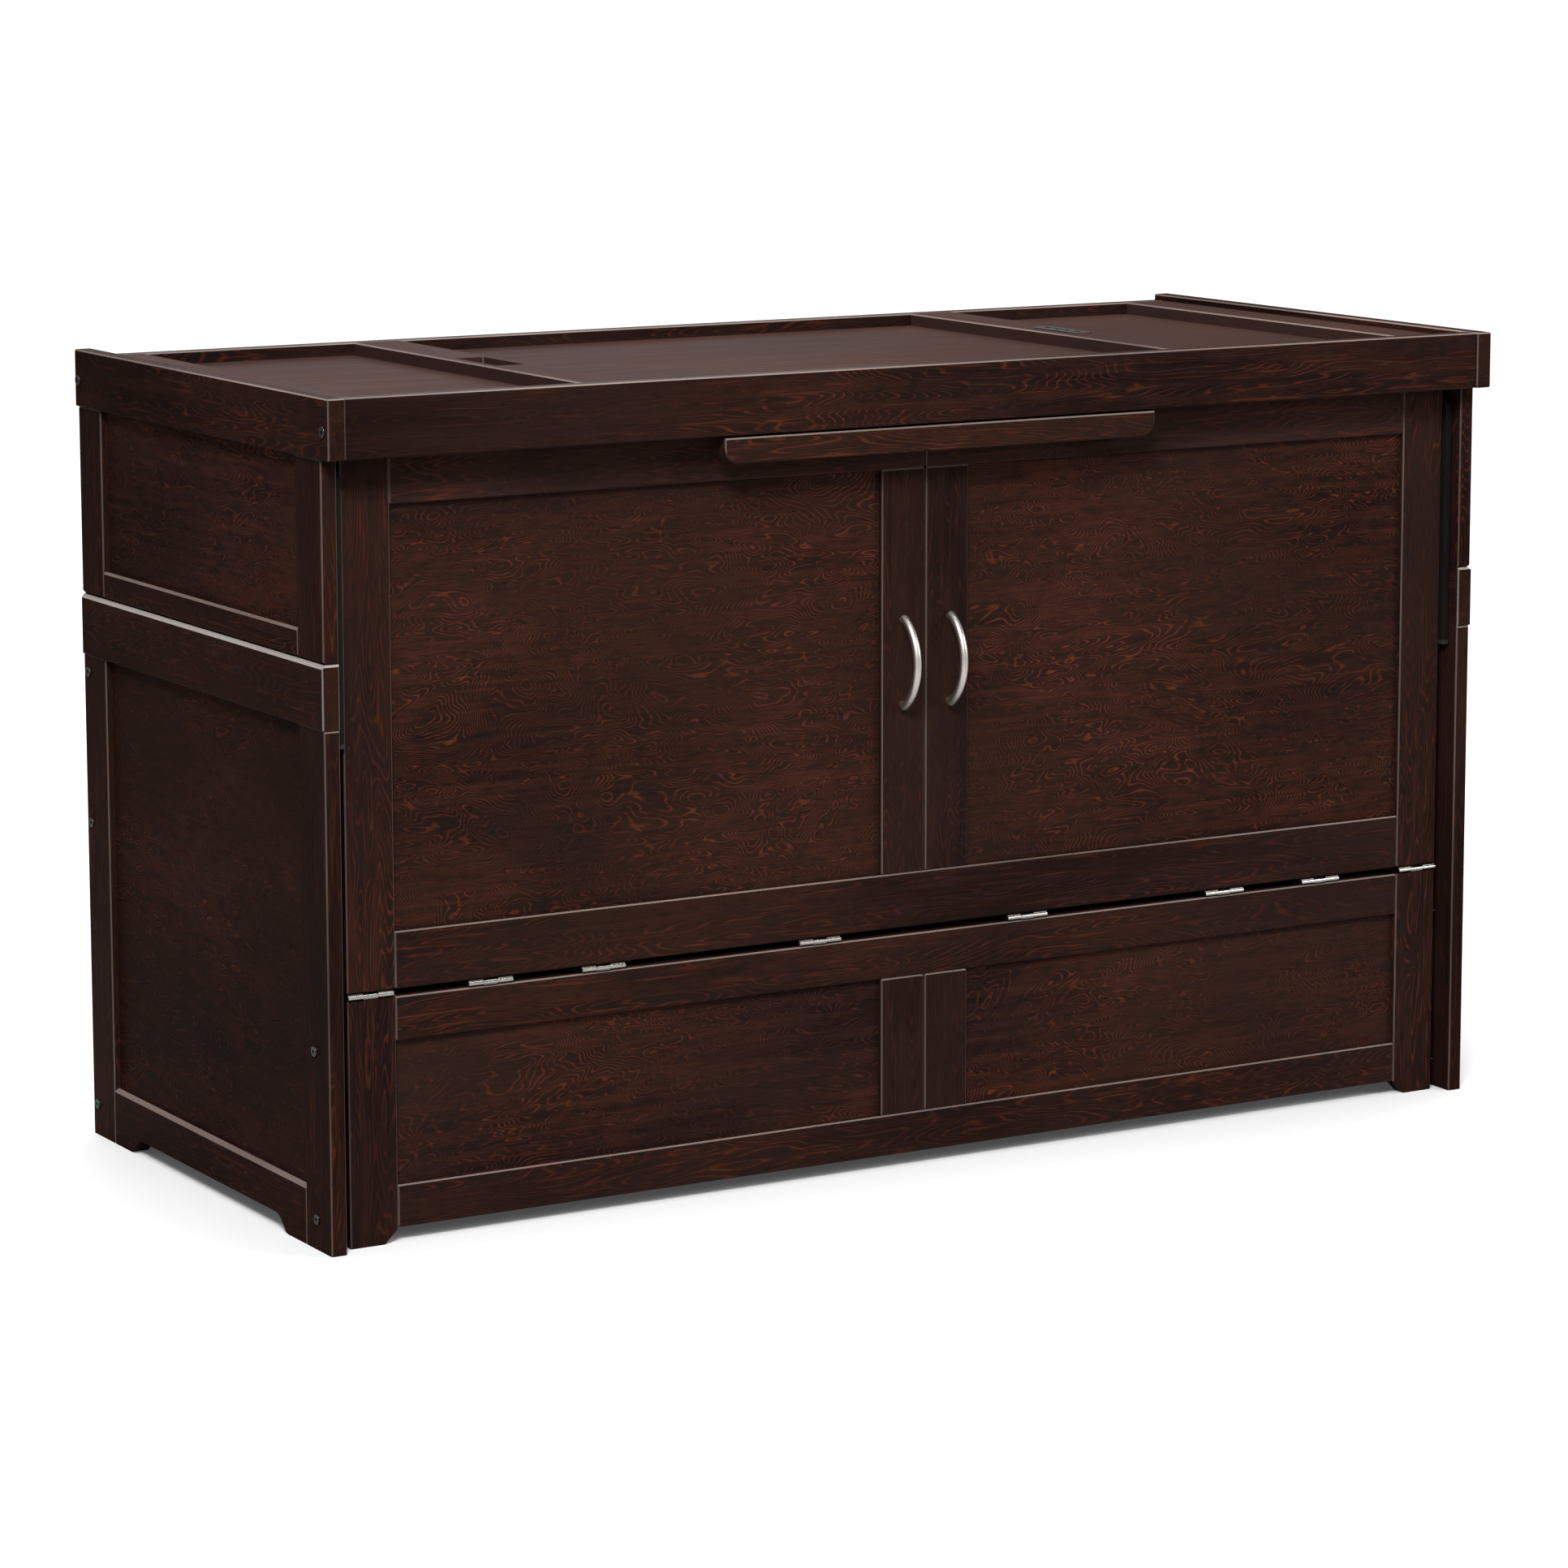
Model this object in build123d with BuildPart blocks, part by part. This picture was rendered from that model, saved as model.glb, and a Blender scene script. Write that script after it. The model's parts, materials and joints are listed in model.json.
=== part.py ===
# Cabinet wall bed: a low chest whose lid lifts, whose lower front slides out with the bed base,
# and whose upper front folds forward to make the foot of the bed.
# Millimetres. +X is the bed's right as seen from the front, the front faces -Y, and +Z is up.
# The origin is on the floor, at the middle of the whole object's box.
from build123d import *
import os

os.makedirs("parts", exist_ok=True)

# ---- driving dimensions ----
side_out = 820.0          # outer face of each cabinet side, from the middle
side_in = 800.0           # inner face of each cabinet side
side_front = -340.0       # front edge of the sides
side_back = 360.0         # back edge of the sides
ease = 1.6                # eased edge of every show board
fine_ease = 0.8           # eased edge of small and hidden boards
stile = 68.0              # width of the side stiles
panel_set_back = 9.0      # how far a side panel lies behind its stiles
panel_thick = 8.0

lower_top = 617.0         # top of the lower side
band_proud = 2.0          # how far the band stands out from the side
band_top = 693.0
lid_under = 929.0         # underside of the lid's rim
upper_top = lid_under - 1.0
lower_rail_top = 71.0
upper_rail_top = 728.0
seam_bevel = 4.5          # bevel along the seam between the upper side and the band
shadow_bevel = 1.2        # bevel along the seam under the band
front_bevel = 2.5         # the same seams across the sides' front edges

foot_length = 118.0       # flat sole of each side foot
foot_curve = 38.0         # length of the curve from sole to apron
apron_clear = 20.0        # floor to the underside of aprons

# front, in two sections
front_face = side_front + 20.0
front_thick = 20.0
front_half = 786.0        # half width of both front sections
front_stile_in = 724.0    # inner edge of the outer stiles
centre_stile = 62.0
split = 0.75              # half the seam between the two centre stiles
base_top = 294.0
front_bottom = 303.0
front_top = 925.0
fold_z = (base_top + front_bottom) / 2
front_rail_low = 371.0    # top of the front's bottom rail
front_rail_high = 870.0   # underside of the front's top rails
base_rail_low = 69.0
base_rail_high = 241.0
front_recess = 8.0

# bed deck
slat_thick = 18.0
slat_low = 318.0
slat_top = slat_low + slat_thick
slat_width = 58.0
slat_pitch = 176.0
fixed_slat_count = 9
bearer_low = 297.0
bearer_deep = 20.0
fixed_bearer_front = -256.0
fixed_bearer_back = 320.0
moving_bearer_front = -278.0
moving_bearer_back = 298.0
base_rail_x = 730.0       # inner face of the base's side rails
base_rail_thick = 20.0

# mattress, folded in three
mattress_half = 745.0
mattress_front = -274.0
mattress_long = 604.0
mattress_thick = 150.0
mattress_gap = 3.0
mattress_corner = 22.0

# lid
lid_half = 824.0
lid_side_in = 802.0
lid_front = -370.0
lid_top = 1000.0
rim_back_top = 992.0
tray_floor = 976.0
tray_under = 950.0
rim_front_face = lid_front + 3.0
rim_thick = 20.0
strip_in = 740.0          # inner edge of the strips beside the rim
divider_out = 450.0
divider_in = 386.0
pocket = (38.0, 110.0, 14.0)

# metal
lid_barrel_r = 4.0
fold_barrel_r = 2.6
lid_pin_r = 2.0
fold_pin_r = 1.4
pin_clear = 0.06
knuckle_gap = 0.5
leaf_thick = 1.5
front_hinge_centres = (150.5, 450.0, 600.5, 756.5)
front_hinge_long = 58.0
lid_hinge_centres = (-550.0, 0.0, 550.0)
lid_hinge_long = 72.0
lid_hinge_y = side_back + 6.0
bolt_head_r = 6.5
bolt_head_high = 2.6
bolt_r = 3.0
bolt_hole_r = 3.1
bolt_long = 42.0
short_bolt = 17.0         # the front stiles' bolts end inside the stile
hex_wide = 5.0

pull_half = 54.0          # from the pull's middle to the centre of each rounded end
pull_out = 36.0           # front face to the bar's centre at the middle of the bow
pull_stand = 5.5          # front face to the bar's centre at its ends
pull_r = 5.0
pull_post_r = 4.0
pull_x = 33.5
pull_z = 633.0
bar_half = 306.0
bar_low = 895.0
bar_top = 926.0
bar_back = -345.0
bar_thick = 20.0
bar_corner = 19.0
spacer_centres = (-240.0, 0.0, 240.0)
spacer_long = 60.0

# drop legs
leg_in = 788.0
leg_out = 797.0
leg_wide = 30.0
leg_pivot_y = front_face + 10.0
leg_pivot_z = 900.0
leg_pin_r = 4.0
leg_pad_thick = 6.0


# ---- helpers ----
def save(piece, label):
    piece.label = label
    export_step(piece, f"parts/{label}.step")


def block(x, y, z, edge=ease, drill=()):
    """A board between two corners, eased all round, with round holes drilled in it."""
    with BuildPart() as piece:
        with Locations(((x[0] + x[1]) / 2, (y[0] + y[1]) / 2, (z[0] + z[1]) / 2)):
            Box(abs(x[1] - x[0]), abs(y[1] - y[0]), abs(z[1] - z[0]))
        if edge:
            chamfer(piece.edges(), edge)
        for start, direction, radius, depth in drill:
            with BuildSketch(Plane(origin=start, z_dir=direction)):
                Circle(radius)
            extrude(amount=depth, mode=Mode.SUBTRACT)
    return piece.part


def group(label, pieces):
    """Several separate solids in one node."""
    save(Compound(children=pieces), label)


def mirrored_x(sign, near, far):
    return (sign * near, sign * far) if sign > 0 else (sign * far, sign * near)


def slats(centres, y, z):
    """A row of slats side by side along X."""
    return [block((x - slat_width / 2, x + slat_width / 2), y, z, fine_ease) for x in centres]


def bolt(point, inward, length):
    """A button-head bolt with a hexagon socket, its head lying on a face."""
    with BuildPart() as piece:
        with BuildSketch(Plane(origin=point, z_dir=inward)):
            Circle(bolt_r)
        extrude(amount=length)
        with BuildSketch(Plane(origin=point, z_dir=inward)):
            Circle(bolt_head_r)
        extrude(amount=-bolt_head_high)
        crown = Vector(*point) - Vector(*inward) * bolt_head_high
        rings = piece.edges().filter_by(GeomType.CIRCLE)
        fillet([ring for ring in rings if (ring.arc_center - crown).length < 0.01], 1.0)
        with BuildSketch(Plane(origin=crown, z_dir=inward)):
            RegularPolygon(hex_wide / 2, 6)
        extrude(amount=1.8, mode=Mode.SUBTRACT)
    return piece.part


# ---- cabinet sides ----
side_bolts = [
    (side_front + stile * 0.55, 37.0),
    (side_front + stile * 0.55, 237.0),
    (side_back - 16.0, 41.0),
    (side_back - 16.0, 404.0),
    (side_back - 16.0, 596.0),
]


def side_drill(sign, front):
    """Bolt holes of one lower stile."""
    holes = []
    for y, z in side_bolts:
        if (y < 0) == front:
            holes.append(((sign * (side_out + 1), y, z), (-sign, 0, 0), bolt_hole_r, bolt_long))
    return holes


def seam_board(sign, x, y, z, top_bevel, low_bevel, drill=(), front_top=0, front_low=0):
    """A side board whose outer and front edges are bevelled at its top or bottom seam."""
    with BuildPart() as piece:
        with Locations(((x[0] + x[1]) / 2, (y[0] + y[1]) / 2, (z[0] + z[1]) / 2)):
            Box(abs(x[1] - x[0]), abs(y[1] - y[0]), abs(z[1] - z[0]))
        along = piece.edges().filter_by(Axis.Y)
        outer = along.group_by(Axis.X)[-1 if sign > 0 else 0].sort_by(Axis.Z)
        if top_bevel:
            chamfer(outer[-1], top_bevel)
        along = piece.edges().filter_by(Axis.Y)
        outer = along.group_by(Axis.X)[-1 if sign > 0 else 0].sort_by(Axis.Z)
        if low_bevel:
            chamfer(outer[0], low_bevel)
        if front_top:
            across = piece.edges().filter_by(Axis.X).group_by(Axis.Y)[0].sort_by(Axis.Z)
            chamfer(across[-1], front_top)
        if front_low:
            across = piece.edges().filter_by(Axis.X).group_by(Axis.Y)[0].sort_by(Axis.Z)
            chamfer(across[0], front_low)
        upright = piece.edges().filter_by(Axis.Z)
        chamfer(upright, ease)
        for start, direction, radius, depth in drill:
            with BuildSketch(Plane(origin=start, z_dir=direction)):
                Circle(radius)
            extrude(amount=depth, mode=Mode.SUBTRACT)
    return piece.part


def apron(sign):
    """Bottom rail of a side, with the two foot curves and a bevelled top edge."""
    front = side_front + stile
    back = side_back - stile
    sole_front = side_front + foot_length
    sole_back = side_back - foot_length
    with BuildPart() as piece:
        with BuildSketch(Plane.YZ.offset(min(sign * side_in, sign * side_out))):
            with BuildLine():
                Line((front, 0), (sole_front, 0))
                Bezier(
                    (sole_front, 0),
                    (sole_front + foot_curve * 0.45, 2),
                    (sole_front + foot_curve * 0.4, apron_clear),
                    (sole_front + foot_curve, apron_clear),
                )
                Line((sole_front + foot_curve, apron_clear), (sole_back - foot_curve, apron_clear))
                Bezier(
                    (sole_back - foot_curve, apron_clear),
                    (sole_back - foot_curve * 0.4, apron_clear),
                    (sole_back - foot_curve * 0.45, 2),
                    (sole_back, 0),
                )
                Polyline(
                    (sole_back, 0),
                    (back, 0),
                    (back, lower_rail_top),
                    (front, lower_rail_top),
                    (front, 0),
                )
            make_face()
        extrude(amount=side_out - side_in)
        along = piece.edges().filter_by(Axis.Y).group_by(Axis.Z)[-1]
        chamfer(along.sort_by(Axis.X)[-1 if sign > 0 else 0], 6.0, 4.0)
        chamfer(piece.edges().filter_by(Axis.Z), ease)
    return piece.part


front_y = (side_front, side_front + stile)
back_y = (side_back - stile, side_back)
between_y = (side_front + stile, side_back - stile)
upper_stiles = []
upper_rails = []
upper_panels = []
lower_panels = []
for sign, name in ((-1, "left"), (1, "right")):
    board_x = mirrored_x(sign, side_in, side_out)
    panel_x = mirrored_x(sign, side_out - panel_set_back - panel_thick, side_out - panel_set_back)
    lower_z = (0, lower_top)
    group(f"{name}_lower_stiles", [
        seam_board(sign, board_x, front_y, lower_z, shadow_bevel, 0, side_drill(sign, True), front_bevel),
        seam_board(sign, board_x, back_y, lower_z, shadow_bevel, 0, side_drill(sign, False)),
    ])
    save(apron(sign), f"{name}_lower_rail")
    lower_panels.append(block(panel_x, between_y, (lower_rail_top, lower_top), 0))
    band_x = mirrored_x(sign, side_in, side_out + band_proud)
    band_y = (side_front - 1, side_back)
    band_z = (lower_top, band_top)
    band = seam_board(sign, band_x, band_y, band_z, seam_bevel, shadow_bevel, (), front_bevel, shadow_bevel)
    save(band, f"{name}_band")
    upper_z = (band_top, upper_top)
    upper_stiles.append(seam_board(sign, board_x, front_y, upper_z, 1.5, seam_bevel, (), 0, front_bevel))
    upper_stiles.append(seam_board(sign, board_x, back_y, upper_z, 1.5, seam_bevel))
    upper_rails.append(seam_board(sign, board_x, between_y, (band_top, upper_rail_top), 3.0, seam_bevel))
    upper_panels.append(block(panel_x, between_y, (upper_rail_top, upper_top), 0))
group("upper_side_stiles", upper_stiles)
group("upper_side_rails", upper_rails)
group("upper_side_panels", upper_panels)
group("lower_side_panels", lower_panels)

group("cabinet_bolts", [
    bolt((sign * side_out, y, z), (-sign, 0, 0), short_bolt if y < 0 else bolt_long)
    for sign in (-1, 1) for y, z in side_bolts
])

# ---- cabinet back ----
back_rail_y = (side_back - 20.0, side_back)
back_rail_heights = ((20.0, 90.0), (600.0, 690.0), (858.0, upper_top))
back_drill = [
    ((sign * (side_in + 1), side_back - 16.0, z), (-sign, 0, 0), bolt_hole_r, bolt_long)
    for sign in (-1, 1) for z in (41.0, 596.0)
]
back_rails = []
for low, high in back_rail_heights:
    holes = [h for h in back_drill if low < h[0][2] < high]
    back_rails.append(block((-side_in, side_in), back_rail_y, (low, high), ease, holes))
# The two upper bolts of each side's back stile go into an upright cleat.
for sign in (-1, 1):
    cleat_x = mirrored_x(sign, side_in - 40.0, side_in)
    holes = [
        ((sign * (side_in + 1), side_back - 16.0, z), (-sign, 0, 0), bolt_hole_r, bolt_long)
        for z in (404.0, 596.0)
    ]
    back_rails.append(block(cleat_x, back_rail_y, (90.0, 600.0), fine_ease, holes))
group("back_rails", back_rails)
cleat_in = side_in - 40.0
group("back_panels", [
    block((-cleat_in, cleat_in), (side_back - 14.0, side_back - 8.0), (90.0, 600.0), 0),
    block((-side_in, side_in), (side_back - 14.0, side_back - 8.0), (690.0, 858.0), 0),
])

# ---- head deck, fixed in the cabinet ----
deck_back = fixed_bearer_back + bearer_deep
deck_y = (fixed_bearer_front, deck_back)
ledgers = [
    block(mirrored_x(sign, side_in - 24.0, side_in), deck_y, (270.0, bearer_low), fine_ease)
    for sign in (-1, 1)
]
cross_bearers = [
    block((-side_in, side_in), (y, y + bearer_deep), (bearer_low, slat_low), fine_ease)
    for y in (fixed_bearer_front, fixed_bearer_back)
]
group("deck_bearers", ledgers + cross_bearers)
fixed_slat_centres = [slat_pitch * (i - (fixed_slat_count - 1) / 2) for i in range(fixed_slat_count)]
moving_slat_centres = [slat_pitch * (i - (fixed_slat_count - 2) / 2) for i in range(fixed_slat_count - 1)]
group("head_slats", slats(fixed_slat_centres, deck_y, (slat_low, slat_top)))

# ---- folded mattress ----
for index, name in enumerate(("lower", "middle", "upper")):
    low = slat_top + 1.0 + index * (mattress_thick + mattress_gap)
    with BuildPart() as section:
        with BuildSketch(Plane.XY.offset(low)):
            with Locations((0, mattress_front + mattress_long / 2)):
                RectangleRounded(2 * mattress_half, mattress_long, mattress_corner)
        extrude(amount=mattress_thick)
        fillet(section.faces().sort_by(Axis.Z)[-1].edges(), 16.0)
        fillet(section.faces().sort_by(Axis.Z)[0].edges(), 16.0)
    save(section.part, f"mattress_{name}_section")

# ---- lid ----
inner_front = rim_front_face + rim_thick
inner_back = side_back - 22.0
lid_bolt_points = (rim_front_face + rim_thick / 2, inner_back + rim_thick / 2)
lid_bolt_z = 962.0
strips = []
tray_panels = []
for sign, name in ((-1, "left"), (1, "right")):
    holes = [
        ((sign * (lid_half + 1), y, lid_bolt_z), (-sign, 0, 0), bolt_hole_r, bolt_long)
        for y in lid_bolt_points
    ]
    rim_x = mirrored_x(sign, lid_side_in, lid_half)
    rim = block(rim_x, (lid_front, side_back), (lid_under, lid_top), ease, holes)
    save(rim, f"lid_{name}_board")
    strip_x = mirrored_x(sign, strip_in, lid_side_in)
    strips.append(block(strip_x, (inner_front, inner_back), (tray_under, rim_back_top), ease))
    panel_range = mirrored_x(sign, divider_out, strip_in)
    tray_panels.append(block(panel_range, (inner_front, inner_back), (tray_floor - 12, tray_floor), 0))
group("lid_side_strips", strips)
group("lid_side_panels", tray_panels)


def end_drill(y):
    """Bolt holes in both ends of a lid board that lies between the side boards."""
    return [
        ((sign * (lid_side_in + 1), y, lid_bolt_z), (-sign, 0, 0), bolt_hole_r, bolt_long)
        for sign in (-1, 1)
    ]


rim_x = (-lid_side_in, lid_side_in)
front_rim_y = (rim_front_face, inner_front)
front_rim = block(rim_x, front_rim_y, (lid_under, lid_top), ease, end_drill(lid_bolt_points[0]))
save(front_rim, "lid_front_board")
back_rim_y = (inner_back, inner_back + rim_thick)
back_rim = block(rim_x, back_rim_y, (lid_under, rim_back_top), ease, end_drill(lid_bolt_points[1]))
save(back_rim, "lid_back_board")
centre_panel = block((-divider_in, divider_in), (inner_front, inner_back), (tray_floor - 12, tray_floor), 0)
save(centre_panel, "lid_centre_panel")
group("lid_bolts", [
    bolt((sign * lid_half, y, lid_bolt_z), (-sign, 0, 0), bolt_long)
    for sign in (-1, 1) for y in lid_bolt_points
])

divider_mid = (divider_out + divider_in) / 2
pocket_y = 20.0
with BuildPart() as left_divider:
    add(block((-divider_out, -divider_in), (inner_front, inner_back), (tray_under, rim_back_top), ease))
    with BuildSketch(Plane.XY.offset(rim_back_top)):
        with Locations((-divider_mid, pocket_y)):
            RectangleRounded(pocket[0], pocket[1], 3.0)
    extrude(amount=-pocket[2], mode=Mode.SUBTRACT)
    with BuildSketch(Plane.XY.offset(rim_back_top)):
        with Locations((-divider_mid, pocket_y)):
            Circle(14.0)
    extrude(amount=-(rim_back_top - tray_under), mode=Mode.SUBTRACT)
save(left_divider.part, "lid_left_divider")

with BuildPart() as grommet:
    with BuildSketch(Plane.XY.offset(rim_back_top - pocket[2])):
        with Locations((-divider_mid, pocket_y)):
            Circle(17.0)
            Circle(11.0, mode=Mode.SUBTRACT)
    extrude(amount=4.0)
    with BuildSketch(Plane.XY.offset(tray_under + 6.0)):
        with Locations((-divider_mid, pocket_y)):
            Circle(13.8)
            Circle(11.0, mode=Mode.SUBTRACT)
    extrude(amount=rim_back_top - pocket[2] - tray_under - 6.0)
    fillet(grommet.edges().group_by(Axis.Z)[-1], 1.2)
save(grommet.part, "cable_grommet")

port_size = (26.0, 104.0)
port_y = 13.0
port_deep = 20.0
with BuildPart() as right_divider:
    add(block((divider_in, divider_out), (inner_front, inner_back), (tray_under, rim_back_top), ease))
    with BuildSketch(Plane.XY.offset(rim_back_top)):
        with Locations((divider_mid, port_y)):
            RectangleRounded(port_size[0], port_size[1], 4.0)
    extrude(amount=-port_deep - 0.5, mode=Mode.SUBTRACT)
save(right_divider.part, "lid_right_divider")

port_pitch = 23.0
port_centres = [port_y + port_pitch * (i - 1.5) for i in range(4)]
with BuildPart() as power_unit:
    with BuildSketch(Plane.XY.offset(rim_back_top + 1.5)):
        with Locations((divider_mid, port_y)):
            RectangleRounded(port_size[0] - 0.6, port_size[1] - 0.6, 3.7)
    extrude(amount=-port_deep - 1.5)
    fillet(power_unit.edges().group_by(Axis.Z)[-1], 1.0)
    with BuildSketch(Plane.XY.offset(rim_back_top + 1.5)):
        for y in port_centres:
            with Locations((divider_mid, y)):
                RectangleRounded(8.0, 15.0, 1.0)
    extrude(amount=-12.0, mode=Mode.SUBTRACT)
tongue_z = (rim_back_top - 10.5, rim_back_top - 1.5)
tongues = [
    block((divider_mid - 1.2, divider_mid + 1.2), (y - 5.5, y + 5.5), tongue_z, 0.3) for y in port_centres
]
group("power_unit", [power_unit.part] + tongues)


# ---- hinges ----
def knuckle(x0, x1, y, z, radius, bore_r=0):
    """One hinge knuckle along X, hollow where it turns on the pin."""
    with BuildPart() as piece:
        with BuildSketch(Plane.YZ.offset(x0)):
            with Locations((y, z)):
                Circle(radius)
                if bore_r:
                    Circle(bore_r, mode=Mode.SUBTRACT)
        extrude(amount=x1 - x0)
    return piece.part


def turning_leaf(centre, length, y, z, radius, pin_r, plates):
    """Leaf with the two outer knuckles, which turn on the other leaf's pin."""
    third = length / 3
    with BuildPart() as piece:
        for start in (-length / 2, length / 2 - third):
            add(knuckle(centre + start, centre + start + third, y, z, radius, pin_r + pin_clear))
            for plate_y, plate_z in plates[:1]:
                add(block((centre + start, centre + start + third), plate_y, plate_z, 0))
        for plate_y, plate_z in plates[1:]:
            add(block((centre - length / 2, centre + length / 2), plate_y, plate_z, 0))
        with BuildSketch(Plane.YZ.offset(centre - length / 2 - 1)):
            with Locations((y, z)):
                Circle(pin_r + pin_clear)
        extrude(amount=length + 2, mode=Mode.SUBTRACT)
    return piece.part


def pinned_leaf(centre, length, y, z, radius, pin_r, plates):
    """Leaf with the middle knuckle and the pin."""
    third = length / 3
    with BuildPart() as piece:
        reach = (centre - third / 2 + knuckle_gap, centre + third / 2 - knuckle_gap)
        add(knuckle(reach[0], reach[1], y, z, radius))
        with BuildSketch(Plane.YZ.offset(centre - length / 2)):
            with Locations((y, z)):
                Circle(pin_r)
        extrude(amount=length)
        for plate_y, plate_z in plates[:1]:
            add(block(reach, plate_y, plate_z, 0))
        for plate_y, plate_z in plates[1:]:
            add(block((centre - length / 2, centre + length / 2), plate_y, plate_z, 0))
    return piece.part


# Front fold: barrels lie on the face line, in the seam between the two front sections.
fold_y = front_face
leaf_deep = 18.0
up_plates = [
    ((fold_y - 0.2, fold_y + 6.0), (fold_z + 1.7, front_bottom)),
    ((fold_y + 4.6, fold_y + leaf_deep), (front_bottom - leaf_thick, front_bottom)),
]
down_plates = [
    ((fold_y - 0.2, fold_y + 6.0), (base_top, fold_z - 1.7)),
    ((fold_y + 4.6, fold_y + leaf_deep), (base_top, base_top + leaf_thick)),
]
hinge_x = sorted([-x for x in front_hinge_centres] + list(front_hinge_centres))
group("front_hinge_leaves", [
    turning_leaf(x, front_hinge_long, fold_y, fold_z, fold_barrel_r, fold_pin_r, up_plates)
    for x in hinge_x
])
group("base_hinge_leaves", [
    pinned_leaf(x, front_hinge_long, fold_y, fold_z, fold_barrel_r, fold_pin_r, down_plates)
    for x in hinge_x
])

# Lid hinges: on the back, with the barrel level with the lid's underside.
lid_hinge_z = lid_under - 0.5
lid_plates = [
    ((side_back - 2.0, lid_hinge_y), (lid_hinge_z + 1.0, lid_hinge_z + 3.6)),
    ((side_back - 2.0, side_back - 0.5), (lid_hinge_z + 1.0, lid_hinge_z + 26.0)),
]
cabinet_plates = [
    ((side_back, lid_hinge_y), (lid_hinge_z - 3.6, lid_hinge_z - 1.0)),
    ((side_back, side_back + 1.5), (lid_hinge_z - 26.0, lid_hinge_z - 1.0)),
]
group("lid_hinge_leaves", [
    turning_leaf(x, lid_hinge_long, lid_hinge_y, lid_hinge_z, lid_barrel_r, lid_pin_r, lid_plates)
    for x in lid_hinge_centres
])
group("cabinet_hinge_leaves", [
    pinned_leaf(x, lid_hinge_long, lid_hinge_y, lid_hinge_z, lid_barrel_r, lid_pin_r, cabinet_plates)
    for x in lid_hinge_centres
])


# ---- upper front, which folds forward ----
frame_y = (front_face, front_face + front_thick)
front_panel_y = (front_face + front_recess, front_face + front_recess + panel_thick)
for sign, name in ((-1, "left"), (1, "right")):
    outer_x = mirrored_x(sign, front_stile_in, front_half)
    save(block(outer_x, frame_y, (front_bottom, front_top)), f"front_{name}_stile")
between_rails = (front_rail_low, front_rail_high)
group("front_panels", [
    block(mirrored_x(sign, centre_stile, front_stile_in), front_panel_y, between_rails, 0)
    for sign in (-1, 1)
])
group("front_top_rails", [
    block(mirrored_x(sign, split, front_stile_in), frame_y, (front_rail_high, front_top))
    for sign in (-1, 1)
])
bottom_rail = block((-front_stile_in, front_stile_in), frame_y, (front_bottom, front_rail_low))
save(bottom_rail, "front_bottom_rail")
group("front_centre_stiles", [
    block(mirrored_x(sign, split, centre_stile), frame_y, between_rails) for sign in (-1, 1)
])
foot_slat_y = (frame_y[1], frame_y[1] + slat_thick)
group("foot_slats", slats(fixed_slat_centres, foot_slat_y, (front_bottom + 8, front_top - 10)))


def pull(x):
    """Bow pull: a round bar bent to one arc, with rounded ends, each on a short post."""
    with BuildPart() as piece:
        with BuildLine(Plane.YZ.offset(x)) as path:
            ThreePointArc(
                (front_face - pull_stand, pull_z - pull_half),
                (front_face - pull_out, pull_z),
                (front_face - pull_stand, pull_z + pull_half),
            )
        with BuildSketch(Plane(origin=path.line @ 0, z_dir=path.line % 0)):
            Circle(pull_r)
        sweep()
        for end in (-1, 1):
            with Locations((x, front_face - pull_stand, pull_z + end * pull_half)):
                Sphere(pull_r)
            post = (x, front_face, pull_z + end * (pull_half - 2.0))
            with BuildSketch(Plane(origin=post, z_dir=(0, -1, 0))):
                Circle(pull_post_r)
            extrude(amount=pull_stand)
    return piece.part


group("door_pulls", [pull(-pull_x), pull(pull_x)])

with BuildPart() as bar:
    with BuildSketch(Plane.XZ.offset(-bar_back)) as outline:
        with Locations((0, (bar_low + bar_top) / 2)):
            Rectangle(2 * bar_half, bar_top - bar_low)
        fillet(outline.vertices().group_by(Axis.Y)[0], bar_corner)
    extrude(amount=bar_thick)
    chamfer(bar.faces().sort_by(Axis.Y)[0].edges(), 1.8)
save(bar.part, "grip_bar")
spacer_z = (bar_low + 3, front_top - 2)
group("grip_bar_spacers", [
    block((x - spacer_long / 2, x + spacer_long / 2), (bar_back, front_face), spacer_z, fine_ease)
    for x in spacer_centres
])

# ---- lower front and bed base, which slide out ----
foot_in = front_stile_in + 18.0
for sign, name in ((-1, "left"), (1, "right")):
    with BuildPart() as base_stile:
        with BuildSketch(Plane.XZ.offset(-frame_y[1])):
            with BuildLine():
                Polyline(
                    (sign * front_half, 0),
                    (sign * front_half, base_top),
                    (sign * front_stile_in, base_top),
                    (sign * front_stile_in, 18.0),
                    (sign * foot_in, 0),
                    (sign * front_half, 0),
                )
            make_face()
        extrude(amount=front_thick)
        chamfer(base_stile.edges().filter_by(Axis.Z), ease)
    save(base_stile.part, f"base_{name}_stile")
inner_x = (-front_stile_in, front_stile_in)
save(block(inner_x, frame_y, (base_rail_high, base_top)), "base_top_rail")
save(block(inner_x, frame_y, (18.0, base_rail_low)), "base_bottom_rail")
group("base_centre_stiles", [
    block(mirrored_x(sign, split, centre_stile), frame_y, (base_rail_low, base_rail_high))
    for sign in (-1, 1)
])
group("base_panels", [
    block(mirrored_x(sign, centre_stile, front_stile_in), front_panel_y, (base_rail_low, base_rail_high), 0)
    for sign in (-1, 1)
])
moving_back = moving_bearer_back + bearer_deep
bearer_half = base_rail_x + base_rail_thick
group("base_side_rails", [
    block(mirrored_x(sign, base_rail_x, bearer_half), (frame_y[1], moving_back), (196.0, 296.0))
    for sign in (-1, 1)
])
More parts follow.
